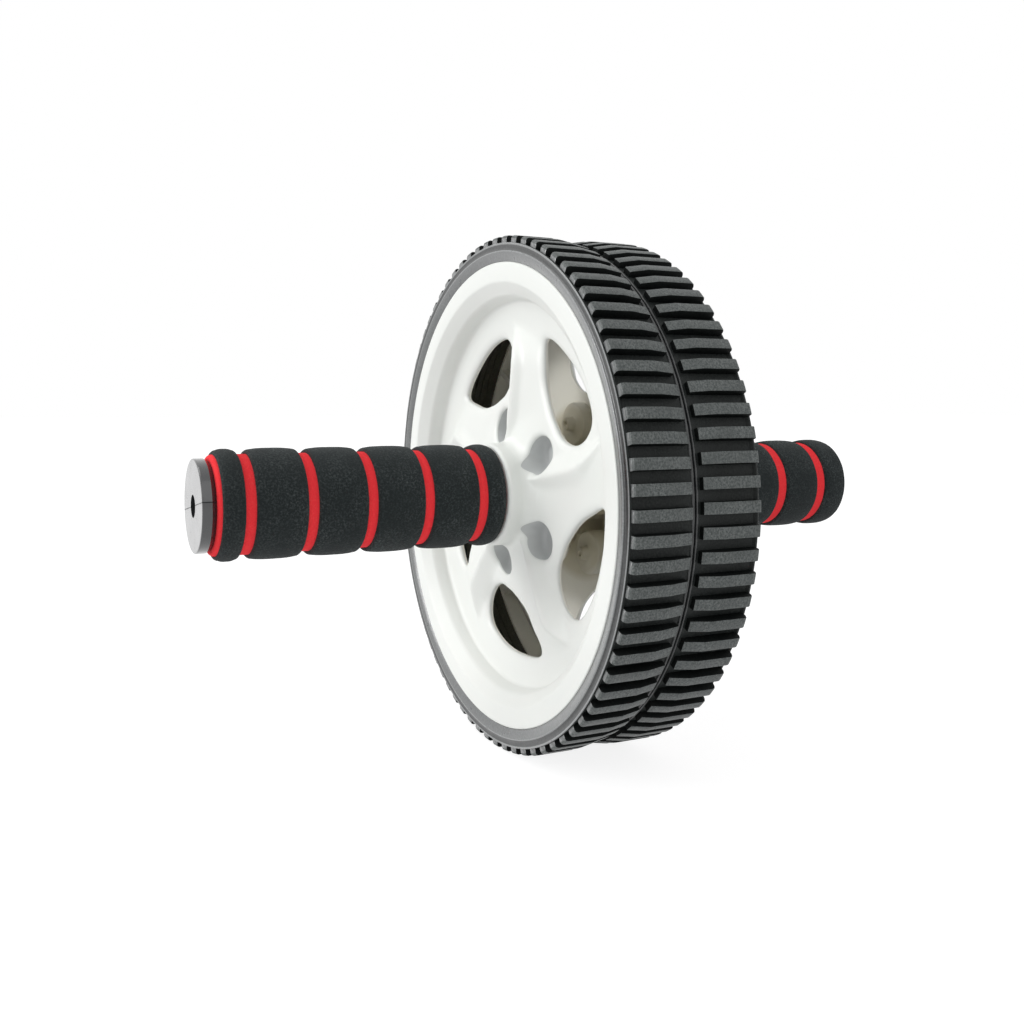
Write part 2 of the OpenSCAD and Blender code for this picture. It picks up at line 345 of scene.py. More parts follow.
class Sketch:
    """Points and faces of one piece while it is drawn, in a side's own frame."""

    def __init__(self) -> None:
        """Start an empty sketch."""
        self.points: list[np.ndarray] = []
        self.faces: list[list[int]] = []
        self.marks: list[int] = []
        self.count = 0

    def add(self, points: np.ndarray) -> np.ndarray:
        """Add points.

        Args:
            points: Rows of coordinates.

        Returns:
            The numbers that the points have in the sketch.
        """
        self.points.append(np.asarray(points, float))
        numbers = np.arange(self.count, self.count + len(points))
        self.count += len(points)
        return numbers

    def face(self, numbers: list[int] | np.ndarray, mark: int) -> None:
        """Add one face.

        Args:
            numbers: The numbers of its points.
            mark: Which of the piece's finishes it has.
        """
        self.faces.append([int(n) for n in numbers])
        self.marks.append(mark)

    def skin(self, rings: Loops, mark: int) -> Loops:
        """Stretch a skin of four-sided faces over a row of closed rings.

        Args:
            rings: Rings of equally many points.
            mark: Which of the piece's finishes the skin has.

        Returns:
            The numbers of each ring's points.
        """
        numbers = [self.add(r) for r in rings]
        for low, high in zip(numbers[:-1], numbers[1:]):
            n = len(low)
            for i in range(n):
                j = (i + 1) % n
                self.face([low[i], low[j], high[j], high[i]], mark)
        return numbers

    def revolve(self, profile: Profile, n: int, mark: int) -> None:
        """Turn a profile round the axle.

        Args:
            profile: Points as radius and height.
            n: Number of steps round the axle.
            mark: Which of the piece's finishes the skin has.
        """
        self.skin([ring(r, h, n) for r, h in profile], mark)

    def web(self, profile: Profile, clock: float, half: float, mark: int) -> None:
        """Stand a flat web on a line out from the axle.

        Args:
            profile: Its outline, as radius and height.
            clock: The clock angle of the line.
            half: Half its thickness.
            mark: Which of the piece's finishes it has.
        """
        radii, heights = np.array(profile).T
        x, y = polar(np.full(len(profile), clock), radii)
        outline = np.column_stack([x, y, heights])
        across = np.array([*polar(np.array(clock + 90), np.array(half)), 0.0])
        for numbers in self.skin([outline - across, outline + across], mark):
            self.face(numbers, mark)

    def build(self, name: str, side: Side, finishes: list[Finish], turn: float, sharp: float) -> Piece:
        """Make the piece.

        Args:
            name: The piece's name.
            side: The side it is on.
            finishes: Its finishes, by the faces' marks.
            turn: How far it is turned clockwise, seen from outside, in degrees.
            sharp: The angle in degrees from which an edge is sharp.

        Returns:
            The new object.
        """
        points = side.place(spin(np.vstack(self.points), turn))
        mesh = bpy.data.meshes.new(name)
        mesh.from_pydata(points.tolist(), [], self.faces)
        mesh.polygons.foreach_set("material_index", self.marks)
        welded = bmesh.new()
        welded.from_mesh(mesh)
        bmesh.ops.remove_doubles(welded, verts=welded.verts, dist=WELD)
        bmesh.ops.recalc_face_normals(welded, faces=welded.faces)
        welded.to_mesh(mesh)
        welded.free()
        mesh.shade_smooth()
        mesh.set_sharp_from_angle(angle=math.radians(sharp))
        for finish in finishes:
            mesh.materials.append(finish)
        return put(name, mesh)


class NodeBench:
    """A node tree, with short calls for the nodes that finishes and surroundings share."""

    def __init__(self, tree: bpy.types.NodeTree) -> None:
        """Take a node tree."""
        self.tree = tree

    def add(self, kind: str, **sockets: float | Colour) -> bpy.types.Node:
        """Add a node and set constants on its sockets, with _ for a space in a name.

        Args:
            kind: The kind of node, as the last words of its type.
            **sockets: The constants.

        Returns:
            The node.
        """
        node = self.tree.nodes.new(f"ShaderNode{kind}")
        for name, value in sockets.items():
            node.inputs[name.replace("_", " ")].default_value = value
        return node

    def link(self, out: Socket, into: Socket) -> None:
        """Join two sockets."""
        self.tree.links.new(out, into)

    def maths(self, operation: str, a: Socket, b: Socket | float = 0.0) -> Socket:
        """Work out a value from one or two others.

        Args:
            operation: What is done with them.
            a: The socket with the first value.
            b: The second value, or the socket with it.

        Returns:
            The socket with the result.
        """
        node = self.add("Math")
        node.operation = operation
        self.link(a, node.inputs[0])
        if isinstance(b, (int, float)):
            node.inputs[1].default_value = b
        else:
            self.link(b, node.inputs[1])
        return node.outputs[0]

    def remap(self, value: Socket, spread: Span, into: Span = (0.0, 1.0)) -> Socket:
        """Stretch a spread of values onto another, held at its ends.

        Args:
            value: The socket with the value.
            spread: The values that go to the ends.
            into: The values at the ends.

        Returns:
            The socket with the new value.
        """
        node = self.add("MapRange", From_Min=spread[0], From_Max=spread[1], To_Min=into[0], To_Max=into[1])
        self.link(value, node.inputs["Value"])
        return node.outputs["Result"]

    def seen_directly(self) -> Socket:
        """Tell the view of a thing from the light that it gives.

        Returns:
            The socket with 1 where the thing is seen, mirrored or seen through, and else 0.
        """
        path = self.add("LightPath")
        seen = path.outputs["Is Camera Ray"]
        for name in ("Is Glossy Ray", "Is Transmission Ray"):
            seen = self.maths("MAXIMUM", seen, path.outputs[name])
        return seen


class Recipe(NodeBench):
    """The node tree of one finish."""

    def __init__(self, name: str) -> None:
        """Start a finish with its shader and its place coordinates.

        Args:
            name: The finish's name.
        """
        self.finish = bpy.data.materials.new(name)
        self.finish.use_nodes = True
        super().__init__(self.finish.node_tree)
        self.shader = next(n for n in self.tree.nodes if n.type == "BSDF_PRINCIPLED")
        self.place = self.add("TexCoord").outputs["Object"]

    def noise(self, scale: float, detail: float, rough: float = 0.5, at: Socket | None = None) -> Socket:
        """Add a noise.

        Args:
            scale: How many waves it has to a metre.
            detail: How many finer layers it has.
            rough: How strong the finer layers are.
            at: The coordinates, where they aren't the object's own.

        Returns:
            The socket with the noise's value.
        """
        node = self.add("TexNoise", Scale=scale, Detail=detail, Roughness=rough)
        self.link(at or self.place, node.inputs["Vector"])
        return node.outputs["Fac"]

    def cells(self, scale: float) -> Socket:
        """Add a cell pattern.

        Args:
            scale: How many cells it has to a metre.

        Returns:
            The socket with the distance to the nearest cell's middle.
        """
        node = self.add("TexVoronoi", Scale=scale)
        self.link(self.place, node.inputs["Vector"])
        return node.outputs["Distance"]

    def stretched(self, scale: Colour) -> Socket:
        """Stretch the place coordinates.

        Args:
            scale: What each of them is multiplied by.

        Returns:
            The socket with the new coordinates.
        """
        node = self.add("Mapping", Scale=scale)
        self.link(self.place, node.inputs["Vector"])
        return node.outputs["Vector"]

    def along(self, axis: str) -> Socket:
        """Measure the place along an axis.

        Args:
            axis: The axis's letter.

        Returns:
            The socket with the place, in metres.
        """
        node = self.add("SeparateXYZ")
        self.link(self.place, node.inputs["Vector"])
        return node.outputs[axis]

    def from_axle(self) -> Socket:
        """Measure how far the place is from the axle.

        Returns:
            The socket with the distance, in metres.
        """
        length = self.add("VectorMath")
        length.operation = "LENGTH"
        self.link(self.stretched((1.0, 0.0, 1.0)), length.inputs[0])
        return length.outputs["Value"]

    def off_split(self, tilt: float) -> Socket:
        """The distance from the tilted plane in which the two halves of each handle core meet.

        Args:
            tilt: The plane's tilt, in degrees.

        Returns:
            The socket with the distance, in metres.
        """
        side = self.maths("SIGN", self.along("Y"))
        ahead = self.maths("MULTIPLY", side, self.along("X"))
        across = self.maths("MULTIPLY", ahead, math.sin(math.radians(tilt)))
        up = self.maths("MULTIPLY", self.along("Z"), math.cos(math.radians(tilt)))
        return self.maths("ABSOLUTE", self.maths("ADD", across, up))

    def blend(self, share: Socket, a: Socket | Colour, b: Socket | Colour) -> Socket:
        """Blend two colours.

        Args:
            share: The socket with the second colour's share.
            a: The first colour, or the socket with it.
            b: The second colour, or the socket with it.

        Returns:
            The socket with the colour.
        """
        node = self.add("Mix")
        node.data_type = "RGBA"
        self.link(share, node.inputs["Factor"])
        for name, value in (("A", a), ("B", b)):
            socket = next(s for s in node.inputs if s.name == name and s.type == "RGBA")
            if isinstance(value, tuple):
                socket.default_value = (*value, 1.0)
            else:
                self.link(value, socket)
        return next(s for s in node.outputs if s.type == "RGBA")

    def bump(self, height: Socket, distance: float, strength: float) -> None:
        """Raise the surface by a height, on top of any bump that it already has.

        Args:
            height: The socket with the height, from 0 to 1.
            distance: The height that 1 stands for, in metres.
            strength: The share of it that shows.
        """
        node = self.add("Bump", Distance=distance, Strength=strength)
        self.link(height, node.inputs["Height"])
        into = self.shader.inputs["Normal"]
        if into.is_linked:
            self.link(into.links[0].from_socket, node.inputs["Normal"])
        self.link(node.outputs["Normal"], into)

    def drive(self, **sockets: Socket) -> None:
        """Link sockets into the shader's own, with _ for a space in a name."""
        for name, out in sockets.items():
            self.link(out, self.shader.inputs[name.replace("_", " ")])

    def fixed(self, **sockets: float | tuple) -> None:
        """Set constants on the shader's own sockets, with _ for a space in a name."""
        for name, value in sockets.items():
            self.shader.inputs[name.replace("_", " ")].default_value = value


@dataclass(frozen=True)
class MouldedPlastic:
    """Smooth moulded plastic with faint flow marks, and a darker colour painted round the axle as painted
    shade, where one is given.
    """

    name: str
    colour: Colour
    shade: Colour
    roughness: float = 0.34
    coat: float = 0.0
    grain: float = 0.5
    # Painted shade: a darker colour painted round the axle, where one is given.
    painted_hub_shade: Colour | None = None

    # Waves to a metre.
    FLOW = 22.0
    GLOSS_CLOUDS = 160.0
    GRAIN = 1800.0
    SINK_MARKS = 60.0
    # Where the painted shade round the axle gives way to the plain colour, in metres from the axle.
    PAINTED_SHADE_END = (0.031, 0.0345)

    def mix(self) -> Recipe:
        """Mix the finish.

        Returns:
            Its recipe, to which a plastic of another kind can add.
        """
        r = Recipe(self.name)
        colour = r.blend(r.remap(r.noise(self.FLOW, 3.0), MOST), self.colour, self.shade)
        # Painted shade: the colour turns darker and olive near the axle, for the shade in the hub's hollow.
        if self.painted_hub_shade:
            colour = r.blend(r.remap(r.from_axle(), self.PAINTED_SHADE_END), self.painted_hub_shade, colour)
        gloss = (self.roughness - 0.04, self.roughness + 0.06)
        r.drive(Base_Color=colour, Roughness=r.remap(r.noise(self.GLOSS_CLOUDS, 3.0), MOST, gloss))
        r.bump(r.noise(self.GRAIN, 2.0), 0.00002, self.grain)
        r.bump(r.noise(self.SINK_MARKS, 1.0), 0.0001, 0.25)
        r.fixed(Coat_Weight=self.coat, Coat_Roughness=0.12)
        return r

    def make(self) -> Finish:
        """Make the finish."""
        return self.mix().finish


@dataclass(frozen=True)
class SplitPlastic(MouldedPlastic):
    """Glossy plastic of the handle cores, dull along the line where their two halves meet."""

    seam: float = 0.00014
    tilt: float = 9.0
    dull: float = 0.2

    def make(self) -> Finish:
        """Make the finish.

        Returns:
            The finish.
        """
        r = self.mix()
        shine = r.remap(r.off_split(self.tilt), (self.seam, 1.6 * self.seam), (self.dull, 1.0))
        r.drive(Coat_Weight=shine, Specular_IOR_Level=r.maths("MULTIPLY", shine, 0.5))
        return r.finish


@dataclass(frozen=True)
class Rubber:
    """Black moulded rubber with fine grain and dusty specks, and a mould line where one is placed."""

    name: str
    colour: Colour
    speck: Colour
    roughness: float
    specular: float = 0.5
    coat: float = 0.0
    line_at: float | None = None

    # Waves to a metre.
    PATCHES = 110.0
    SPECKS = 1500.0
    RIPPLES = 220.0
    # Half the width of the mould line, in metres.
    LINE_HALF = 0.0002

    def make(self) -> Finish:
        """Make the finish.

        Returns:
            The finish.
        """
        r = Recipe(self.name)
        patches = r.noise(self.PATCHES, 4.0, 0.65)
        specks = r.noise(self.SPECKS, 2.0, 0.7)
        share = r.maths("MULTIPLY", r.remap(patches, MOST, (0.35, 1.0)), r.remap(specks, (0.36, 0.68)))
        gloss = r.remap(patches, MOST, (self.roughness - 0.08, self.roughness + 0.1))
        r.drive(Base_Color=r.blend(share, self.colour, self.speck), Roughness=gloss)
        r.bump(specks, 0.00012, 0.5)
        r.bump(r.noise(self.RIPPLES, 3.0), 0.0003, 0.25)
        r.fixed(Specular_IOR_Level=self.specular, Coat_Weight=self.coat, Coat_Roughness=0.22)
        if self.line_at is not None:
            out = r.maths("ABSOLUTE", r.along("Y"))
            gap = r.maths("ABSOLUTE", r.maths("SUBTRACT", out, self.line_at))
            r.bump(r.remap(gap, (0.0, self.LINE_HALF), (1.0, 0.0)), 0.00018, 0.7)
        return r.finish


@dataclass(frozen=True)
class Foam:
    """Closed-cell foam with pinholes, pale specks and a dry surface."""

    name: str
    colour: Colour
    light: Colour
    cells: float = 1900.0
    sheen: float = 0.0
    bare: float = 0.5

    # Waves to a metre.
    CLUMPS = 1500.0
    PATCHES = 90.0

    def make(self) -> Finish:
        """Make the finish.

        Returns:
            The finish.
        """
        r = Recipe(self.name)
        clumps = r.noise(self.CLUMPS, 3.0, 0.7)
        patches = r.remap(r.noise(self.PATCHES, 3.0), (0.35, 0.65), (0.25, 1.0))
        share = r.maths("MULTIPLY", r.remap(clumps, (self.bare, self.bare + 0.3)), patches)
        r.drive(Base_Color=r.blend(share, self.colour, self.light))
        r.bump(r.remap(r.cells(self.cells), (0.05, 0.45)), 0.0002, 0.45)
        r.bump(clumps, 0.0003, 0.4)
        r.fixed(Roughness=0.92, Sheen_Weight=self.sheen, Sheen_Roughness=0.6, Specular_IOR_Level=0.25)
        return r.finish


@dataclass(frozen=True)
class TurnedSteel:
    """Bright steel with the fine marks of turning."""

    name: str
    colour: Colour

    def make(self) -> Finish:
        """Make the finish.

        Returns:
            The finish.
        """
        r = Recipe(self.name)
        marks = r.noise(300.0, 3.0, 0.6, r.stretched((1.0, 30.0, 1.0)))
        worn = tuple(0.8 * c for c in self.colour)
        r.drive(Base_Color=r.blend(marks, self.colour, worn), Roughness=r.remap(marks, MOST, (0.22, 0.38)))
        r.bump(marks, 0.00002, 0.4)
        r.fixed(Metallic=1.0)
        return r.finish


@dataclass
class Wheel:
    """One moulded wheel: hub boss, dished disc with five arms and windows, rim wall and lip."""

    side: Side
    turn: float
    finishes: dict[Shell, Finish]
    # Rim: the drum under the tyre, the lip, the crease and the foot of its wall.
    drum_r: float = 83.4
    lip_half: float = 23.55
    lip_in_r: float = 76.1
    crease_r: float = 71.3
    crease_half: float = 19.73
    foot_r: float = 70.2
    foot_half: float = 15.25
    foot_run: float = 3.0
    foot_dip: float = 0.9
    seat_half: float = 12.0
    wall: float = 2.4
    # Disc: its height at the windows, its outer edge, and the windows with their lips.
    disc_half: float = 13.5
    face_r: float = 66.0
    window_r_out: float = 59.5
    window_r_in: float = 37.3
    window_lead: float = 23.5
    window_lip: float = 3.4
    window_drop: float = 1.5
    window_turn_in: float = 0.35
    # Arms: the slopes of the two flanks and of the shelf beyond the right one.
    flank_left: float = 0.62
    flank_right: float = 0.70
    shelf_slope: float = 0.15
    # Hub boss, with the tube and the flange seat of the bush.
    hub_r: float = 18.5
    hub_half: float = 26.3
    hub_fillet: float = 4.5
    hub_step: float = 5.0
    hub_round: float = 1.6
    hub_rise: float = 4.5
    bore_r: float = 8.51
    tube_r: float = 10.91
    tube_half: float = 0.45
    flange_r: float = 11.26
    flange_h: float = 1.3
    # Blind recesses, with their cups behind the disc.
    recess_r: float = 6.8
    recess_ring_r: float = 25.4
    recess_lead: float = 12.0
    recess_half: float = 9.5
    recess_lip: float = 2.4
    recess_drop: float = 1.3
    cup_half: float = 8.0
    cup_wall: float = 1.2
    # Fineness of the mesh: steps round the axle and round a recess, and the spacing on the disc.
    round_steps: int = 240
    hole_steps: int = 60
    pitch: float = 1.25

    # A window's outline, as shares of its lead and of its depth.
    WINDOW = ((-0.97, 0.96), (-0.84, 0.54), (-0.58, 0.24), (-0.15, 0.05), (0.26, 0.0), (0.64, 0.04),
              (0.93, 0.25), (1.0, 0.58), (0.83, 0.9), (0.4, 1.0), (-0.3, 1.0))
    # Rise of the disc's front and back over disc_half, over the radius.
    DISH_FRONT = ((25.8, 2.7), (32.0, 1.4), (44.0, 0.4))
    DISH_BACK = ((32.0, -1.0), (44.0, -2.0))
    # The arms' bend in degrees, and the heights of the crest and the shelf, over the radius.
    ARM_BEND = ((18.5, -8.0), (24.4, -5.0), (35.0, -2.5), (46.0, -1.6), (50.0, -2.0), (54.0, -3.6),
                (58.0, -6.0), (62.0, -8.6), (66.0, -11.0))
    ARM_CREST = ((18.5, 19.4), (24.0, 18.9), (48.0, 18.7), (52.0, 18.1), (56.0, 16.7), (60.0, 15.2),
                 (64.0, 13.9), (66.0, 13.0))
    ARM_SHELF = ((18.5, 16.6), (24.0, 16.2), (50.0, 15.7), (56.0, 15.3), (60.0, 14.4), (62.5, 12.5))
    # Wall of a recess, as steps from its radius and its floor.
    RECESS_WALL = ((-0.1, 2.2), (-0.3, 1.0), (-1.1, 0.2), (-2.0, 0.0))
    # Edge of a cup, as steps from its radius and its end, and the gate nub there, as radii and steps.
    CUP_EDGE = ((0.0, 0.7), (-0.2, 0.2), (-0.7, 0.0))
    GATE_NUB = ((3.0, 0.0), (2.6, -0.3), (2.45, -2.6), (2.2, -3.0), (1.2, -3.0), (1.05, -2.8), (1.0, -1.0))
    # Rows of points along the lips, as shares of their widths, and up the fillet, outward from the hub.
    WINDOW_ROWS = (0.04, 0.13, 0.28, 0.5, 0.75, 1.0)
    RECESS_ROWS = (0.05, 0.16, 0.34, 0.6, 0.9)
    FILLET_ROWS = (0.12, 0.4, 0.9, 1.6, 2.5)
    # An opening with its lip lies within the first reach of its middle, its neighbours within the second.
    REACH = 34.0
    NEAR_REACH = 45.0

    def front_base(self, r: np.ndarray) -> np.ndarray:
        """Height of the dished disc's front, without its arms.

        Args:
            r: Radii in millimetres.

        Returns:
            Heights from the middle plane.
        """
        fillet_r = self.hub_r + self.hub_fillet
        table = arc(fillet_r, self.hub_half - self.hub_step, self.hub_fillet, 180, 240, 24)
        table += [(at, self.disc_half + rise) for at, rise in self.DISH_FRONT]
        table += [(self.window_r_out, self.disc_half),
                  (self.foot_r - self.foot_run, self.foot_half - self.foot_dip)]
        near, here, far = (read_off(table, r + step) for step in (-1.5, 0.0, 1.5))
        share = np.clip((r - fillet_r) / 3.0, 0, 1) * np.clip((self.face_r - r) / 2.0, 0, 1)
        return here + share * ((near + here + far) / 3 - here)

    def back_base(self, r: np.ndarray) -> np.ndarray:
        """Height of the disc's back.

        Args:
            r: Radii in millimetres.

        Returns:
            Heights from the middle plane.
        """
        table = [(self.hub_r - self.wall, self.disc_half + self.hub_rise),
                 (self.recess_ring_r, self.disc_half + 0.6)]
        table += [(at, self.disc_half + rise) for at, rise in self.DISH_BACK]
        table += [(self.window_r_out, self.disc_half - self.wall),
                  (self.foot_r - self.foot_run, self.foot_half - self.foot_dip - self.wall)]
        return read_off(table, r)

    def window(self, n: int = 112) -> np.ndarray:
        """Outline of the window whose middle is at twelve o'clock.

        Args:
            n: Number of points.

        Returns:
            The points, on a smooth curve through those of WINDOW.
        """
        shape = np.array(self.WINDOW)
        t = np.linspace(0, 1, 12, endpoint=False)[:, None]
        spans = []
        for i in range(len(shape)):
            a, b, c, d = (shape[(i + k) % len(shape)] for k in (-1, 0, 1, 2))
            span = 2 * b + (c - a) * t
            span += (2 * a - 5 * b + 4 * c - d) * t**2
            span += (3 * b - a - 3 * c + d) * t**3
            spans.append(0.5 * span)
        lead, depth = np.vstack(spans).T
        radii = self.window_r_in + (self.window_r_out - self.window_r_in) * depth
        return resample(np.stack(polar(lead * self.window_lead, radii), axis=1), n)

    def arm_height(self, x: np.ndarray, y: np.ndarray) -> np.ndarray:
        """Height of the arms: a crest with a flank on each side, and a shelf beyond the right flank.

        Args:
            x: Plane coordinates to the right.
            y: Plane coordinates up.

        Returns:
            Heights from the middle plane.
        """
        r = np.hypot(x, y)
        phi = np.degrees(np.arctan2(x, y)) % SECTOR - SECTOR / 2
        s = r * np.sin(np.radians(phi))
        s_crest = r * np.sin(np.radians(read_off(self.ARM_BEND, r)))
        crest, shelf = read_off(self.ARM_CREST, r), read_off(self.ARM_SHELF, r)
        left = crest - self.flank_left * (s_crest - s)
        right = crest - self.flank_right * (s - s_crest)
        roof = soft_min(left, right, 0.5)
        s_shelf = s_crest + (crest - shelf) / self.flank_right
        beyond = shelf - self.shelf_slope * np.maximum(s - s_shelf, 0)
        return soft_max(roof, np.where(s > s_crest, beyond, roof - 5), 0.35)

    def face_height(self, points: np.ndarray, windows: Loops, recesses: Loops) -> np.ndarray:
        """Height of the finished face.

        Args:
            points: Rows of x and y.
            windows: The window outlines.
            recesses: The recess centres.

        Returns:
            Heights from the middle plane.
        """
        x, y = points[:, 0], points[:, 1]
        r = np.hypot(x, y)
        base = self.front_base(r)
        share = np.clip((r - self.hub_r) / 1.6, 0, 1)
        h = base + share * (soft_max(base, self.arm_height(x, y), 0.4) - base)
        for loop in windows:
            near = within(points, loop, self.REACH)
            if near.any():
                d = distance_to_loop(points[near], loop)
                h[near] -= lip_fall(np.maximum(d, 0), self.window_lip, self.window_drop)
        for centre in recesses:
            d = np.linalg.norm(points - centre, axis=1) - self.recess_r
            h -= share * lip_fall(np.maximum(d, 0), self.recess_lip, self.recess_drop)
        return h

    def plain_points(self, inner: float, openings: Loops, keep: float) -> np.ndarray:
        """Spread points over the disc in rows round the axle.

        Args:
            inner: Radius of the disc's inner edge.
            openings: Outlines that the points keep clear of.
            keep: How near to an opening they may come.

        Returns:
            Rows of x and y.
        """
        rows = []
        r = inner + 3.0
        while r < self.face_r - 1.0:
            n = int(2 * math.pi * r / self.pitch / ARMS) * ARMS
            clock = (np.arange(n) + 0.5 * (len(rows) % 2)) * 360.0 / n
            rows.append(np.stack(polar(clock, np.full(n, r)), axis=1))
            r += self.pitch * 0.87
        points = np.vstack(rows)
        free = np.ones(len(points), bool)
        for loop in openings:
            close = within(points, loop, self.REACH)
            free[close] &= distance_to_loop(points[close], loop) > keep
        return points[free]

    def sheet(self, sketch: Sketch, inner: float, openings: Loops, shaping: Loops, keep: float,
              height: Callable[[np.ndarray], np.ndarray], mark: Shell) -> Loops:
        """Fill the disc round its openings and lay it on a height.

        Args:
            sketch: The piece being drawn.
            inner: Radius of the disc's inner edge.
            openings: Outlines that stay open.
            shaping: More points, which shape the lips and the fillet.
            keep: How near to an opening the plain points may come.
            height: The function that gives a point's height.
            mark: Which of the wheel's surfaces it is.

        Returns:
            The outline of each opening, with its heights.
        """
        borders = [circle(inner, self.round_steps), circle(self.face_r, self.round_steps), *openings]
        edges, taken = [], 0
        for loop in borders:
            n = len(loop)
            edges += [(taken + i, taken + (i + 1) % n) for i in range(n)]
            taken += n
        cloud = np.vstack([*borders, *shaping, self.plain_points(inner, openings, keep)])
        verts, _, faces, *_ = delaunay_2d_cdt([Vector(p) for p in cloud], edges, [], 0, 1e-5)
        flat = np.array([(v.x, v.y) for v in verts])
        triangles = np.array([f for f in faces if len(f) == 3])
        middle = flat[triangles].mean(axis=1)
        radius = np.hypot(middle[:, 0], middle[:, 1])
        good = (radius > inner * 0.9995) & (radius < self.face_r * 0.99999)
        for loop in openings:
            close = within(middle, loop, self.REACH)
            good[close] &= distance_to_loop(middle[close], loop) > 0
        numbers = sketch.add(np.column_stack([flat, height(flat)]))
        for t in triangles[good]:
            sketch.face(numbers[t], mark)
        return [np.column_stack([loop, height(loop)]) for loop in openings]

    def lip_points(self, windows: Loops, holes: Loops) -> Loops:
        """Rows of points along the lips, clear of the other openings and of the hub.

        Args:
            windows: The window outlines.
            holes: The recess outlines.

        Returns:
            The rows.
        """
        lips = [(loop, self.window_lip, self.WINDOW_ROWS) for loop in windows]
        lips += [(loop, self.recess_lip, self.RECESS_ROWS) for loop in holes]
        rows = []
        for loop, width, shares in lips:
            for share in shares:
                row = outset(loop, width * share)
                clear = np.hypot(row[:, 0], row[:, 1]) > self.hub_r + 0.25
                for other, _, _ in lips:
                    apart = np.linalg.norm(other.mean(axis=0) - loop.mean(axis=0))
                    if other is not loop and apart < self.NEAR_REACH:
                        clear &= distance_to_loop(row, other) > max(width * share * 0.9, 0.5)
                rows.append(row[clear])
        return rows

    def fillet_points(self, holes: Loops) -> Loops:
        """Rows of points up the fillet of the hub, clear of the recesses.

        Args:
            holes: The recess outlines.

        Returns:
            The rows.
        """
        rows = []
        for step in self.FILLET_ROWS:
            row = circle(self.hub_r + step, self.round_steps)
            clear = np.ones(len(row), bool)
            for loop in holes:
                clear &= distance_to_loop(row, loop) > 0.25
            rows.append(row[clear])
        return rows

    def draw(self) -> Sketch:
        """Draw the whole moulding.

        Returns:
            The sketch.
        """
        sketch = Sketch()
        window = self.window()
        windows = [spin(window, i * SECTOR) for i in range(ARMS)]
        first = np.column_stack(polar(np.array([self.recess_lead]), np.array([self.recess_ring_r])))
        recesses = [spin(first, i * SECTOR)[0] for i in range(ARMS)]
        holes = [circle(self.recess_r, self.hole_steps, centre) for centre in recesses]
        cups = [circle(self.recess_r + self.cup_wall, self.hole_steps, centre) for centre in recesses]
        shaping = self.lip_points(windows, holes) + self.fillet_points(holes)
        mouths = self.sheet(sketch, self.hub_r, windows + holes, shaping, 1.3,
                            lambda p: self.face_height(p, windows, recesses), Shell.OUTSIDE)
        rears = self.sheet(sketch, self.hub_r - self.wall, windows + cups, [], 0.8,
                           lambda p: self.back_base(np.hypot(p[:, 0], p[:, 1])), Shell.INSIDE)
        for mouth, rear in zip(mouths[:ARMS], rears[:ARMS]):
            turned_in = mouth - (0.0, 0.0, self.window_turn_in)
            sketch.skin([mouth, turned_in], Shell.OUTSIDE)
            sketch.skin([turned_in, rear], Shell.INSIDE)
        for mouth, rear, centre in zip(mouths[ARMS:], rears[ARMS:], recesses):
            self.draw_recess(sketch, mouth, rear, centre)
        self.draw_rim(sketch)
        self.draw_hub(sketch)
        return sketch

    def draw_recess(self, sketch: Sketch, mouth: np.ndarray, rear: np.ndarray, centre: np.ndarray) -> None:
        """Draw one blind recess and the cup behind it, with its gate nub.

        Args:
            sketch: The piece being drawn.
            mouth: The recess's mouth on the face.
            rear: The cup's outline on the disc's back.
            centre: The centre of the recess.
        """
        cup_r = self.recess_r + self.cup_wall
        well = [(self.recess_r + out, self.recess_half + up) for out, up in self.RECESS_WALL]
        cup = [(cup_r + out, self.cup_half + up) for out, up in self.CUP_EDGE]
        cup += [(r, self.cup_half + up) for r, up in self.GATE_NUB]
        # The recess wall takes the darker recess finish: painted shade inside the recess.
        for start, profile, mark in ((mouth, well, Shell.WELL), (rear, cup, Shell.INSIDE)):
            rows = sketch.skin([start] + [ring(r, h, self.hole_steps, centre) for r, h in profile], mark)
            sketch.face(rows[-1], mark)

    def draw_rim(self, sketch: Sketch) -> None:
        """Draw the rim outside the disc, with the ribs behind it.

        Args:
            sketch: The piece being drawn.
        """
        at_face = np.array([self.face_r])
        seat, lip, wall, half = self.seat_half, self.lip_half, self.wall, self.wall / 2
        front = [(self.face_r, float(self.front_base(at_face)[0])),
                 (self.foot_r - self.foot_run, self.foot_half - self.foot_dip)]
        front += arc(self.foot_r - 1.5, self.foot_half + 1.1, 1.6, -70, 0, 6)
        front += [(self.foot_r + 0.55, self.foot_half + 2.8), (self.crease_r - 0.12, self.crease_half - 0.7),
                  (self.crease_r + 0.2, self.crease_half + 0.25),
                  (self.crease_r + 1.0, self.crease_half + 0.95)]
        front += arc(self.lip_in_r + 0.9, lip - 1.9, 1.9, 132, 90, 6)
        front += arc(self.drum_r - 0.6, lip - 0.6, 0.6, 90, 0, 4)
        front += [(self.drum_r, seat)]
        sketch.revolve(front, self.round_steps, Shell.OUTSIDE)
        behind = [(self.drum_r, seat), (self.drum_r - wall, seat), (self.drum_r - wall, lip - wall),
                  (self.lip_in_r + 1.6, lip - wall), (self.crease_r + wall, self.crease_half - 1),
                  (self.foot_r + wall, self.foot_half - 0.5), (self.foot_r + 1.2, self.foot_half - wall),
                  (self.foot_r - self.foot_run, self.foot_half - self.foot_dip - wall),
                  (self.face_r, float(self.back_base(at_face)[0]))]
        sketch.revolve(behind, self.round_steps, Shell.INSIDE)
        rib = [(self.drum_r - half, seat + 0.4), (self.drum_r - half, lip - half),
               (self.lip_in_r + 1.8, lip - half), (self.crease_r + half + 0.2, self.crease_half - 1),
               (self.foot_r + half + 0.2, self.foot_half),
               (self.foot_r + half + 0.2, self.foot_half - wall + 0.2)]
        for i in range(2 * ARMS):
            sketch.web(rib, -(i + 0.5) * SECTOR / 2 + 90, half, Shell.INSIDE)

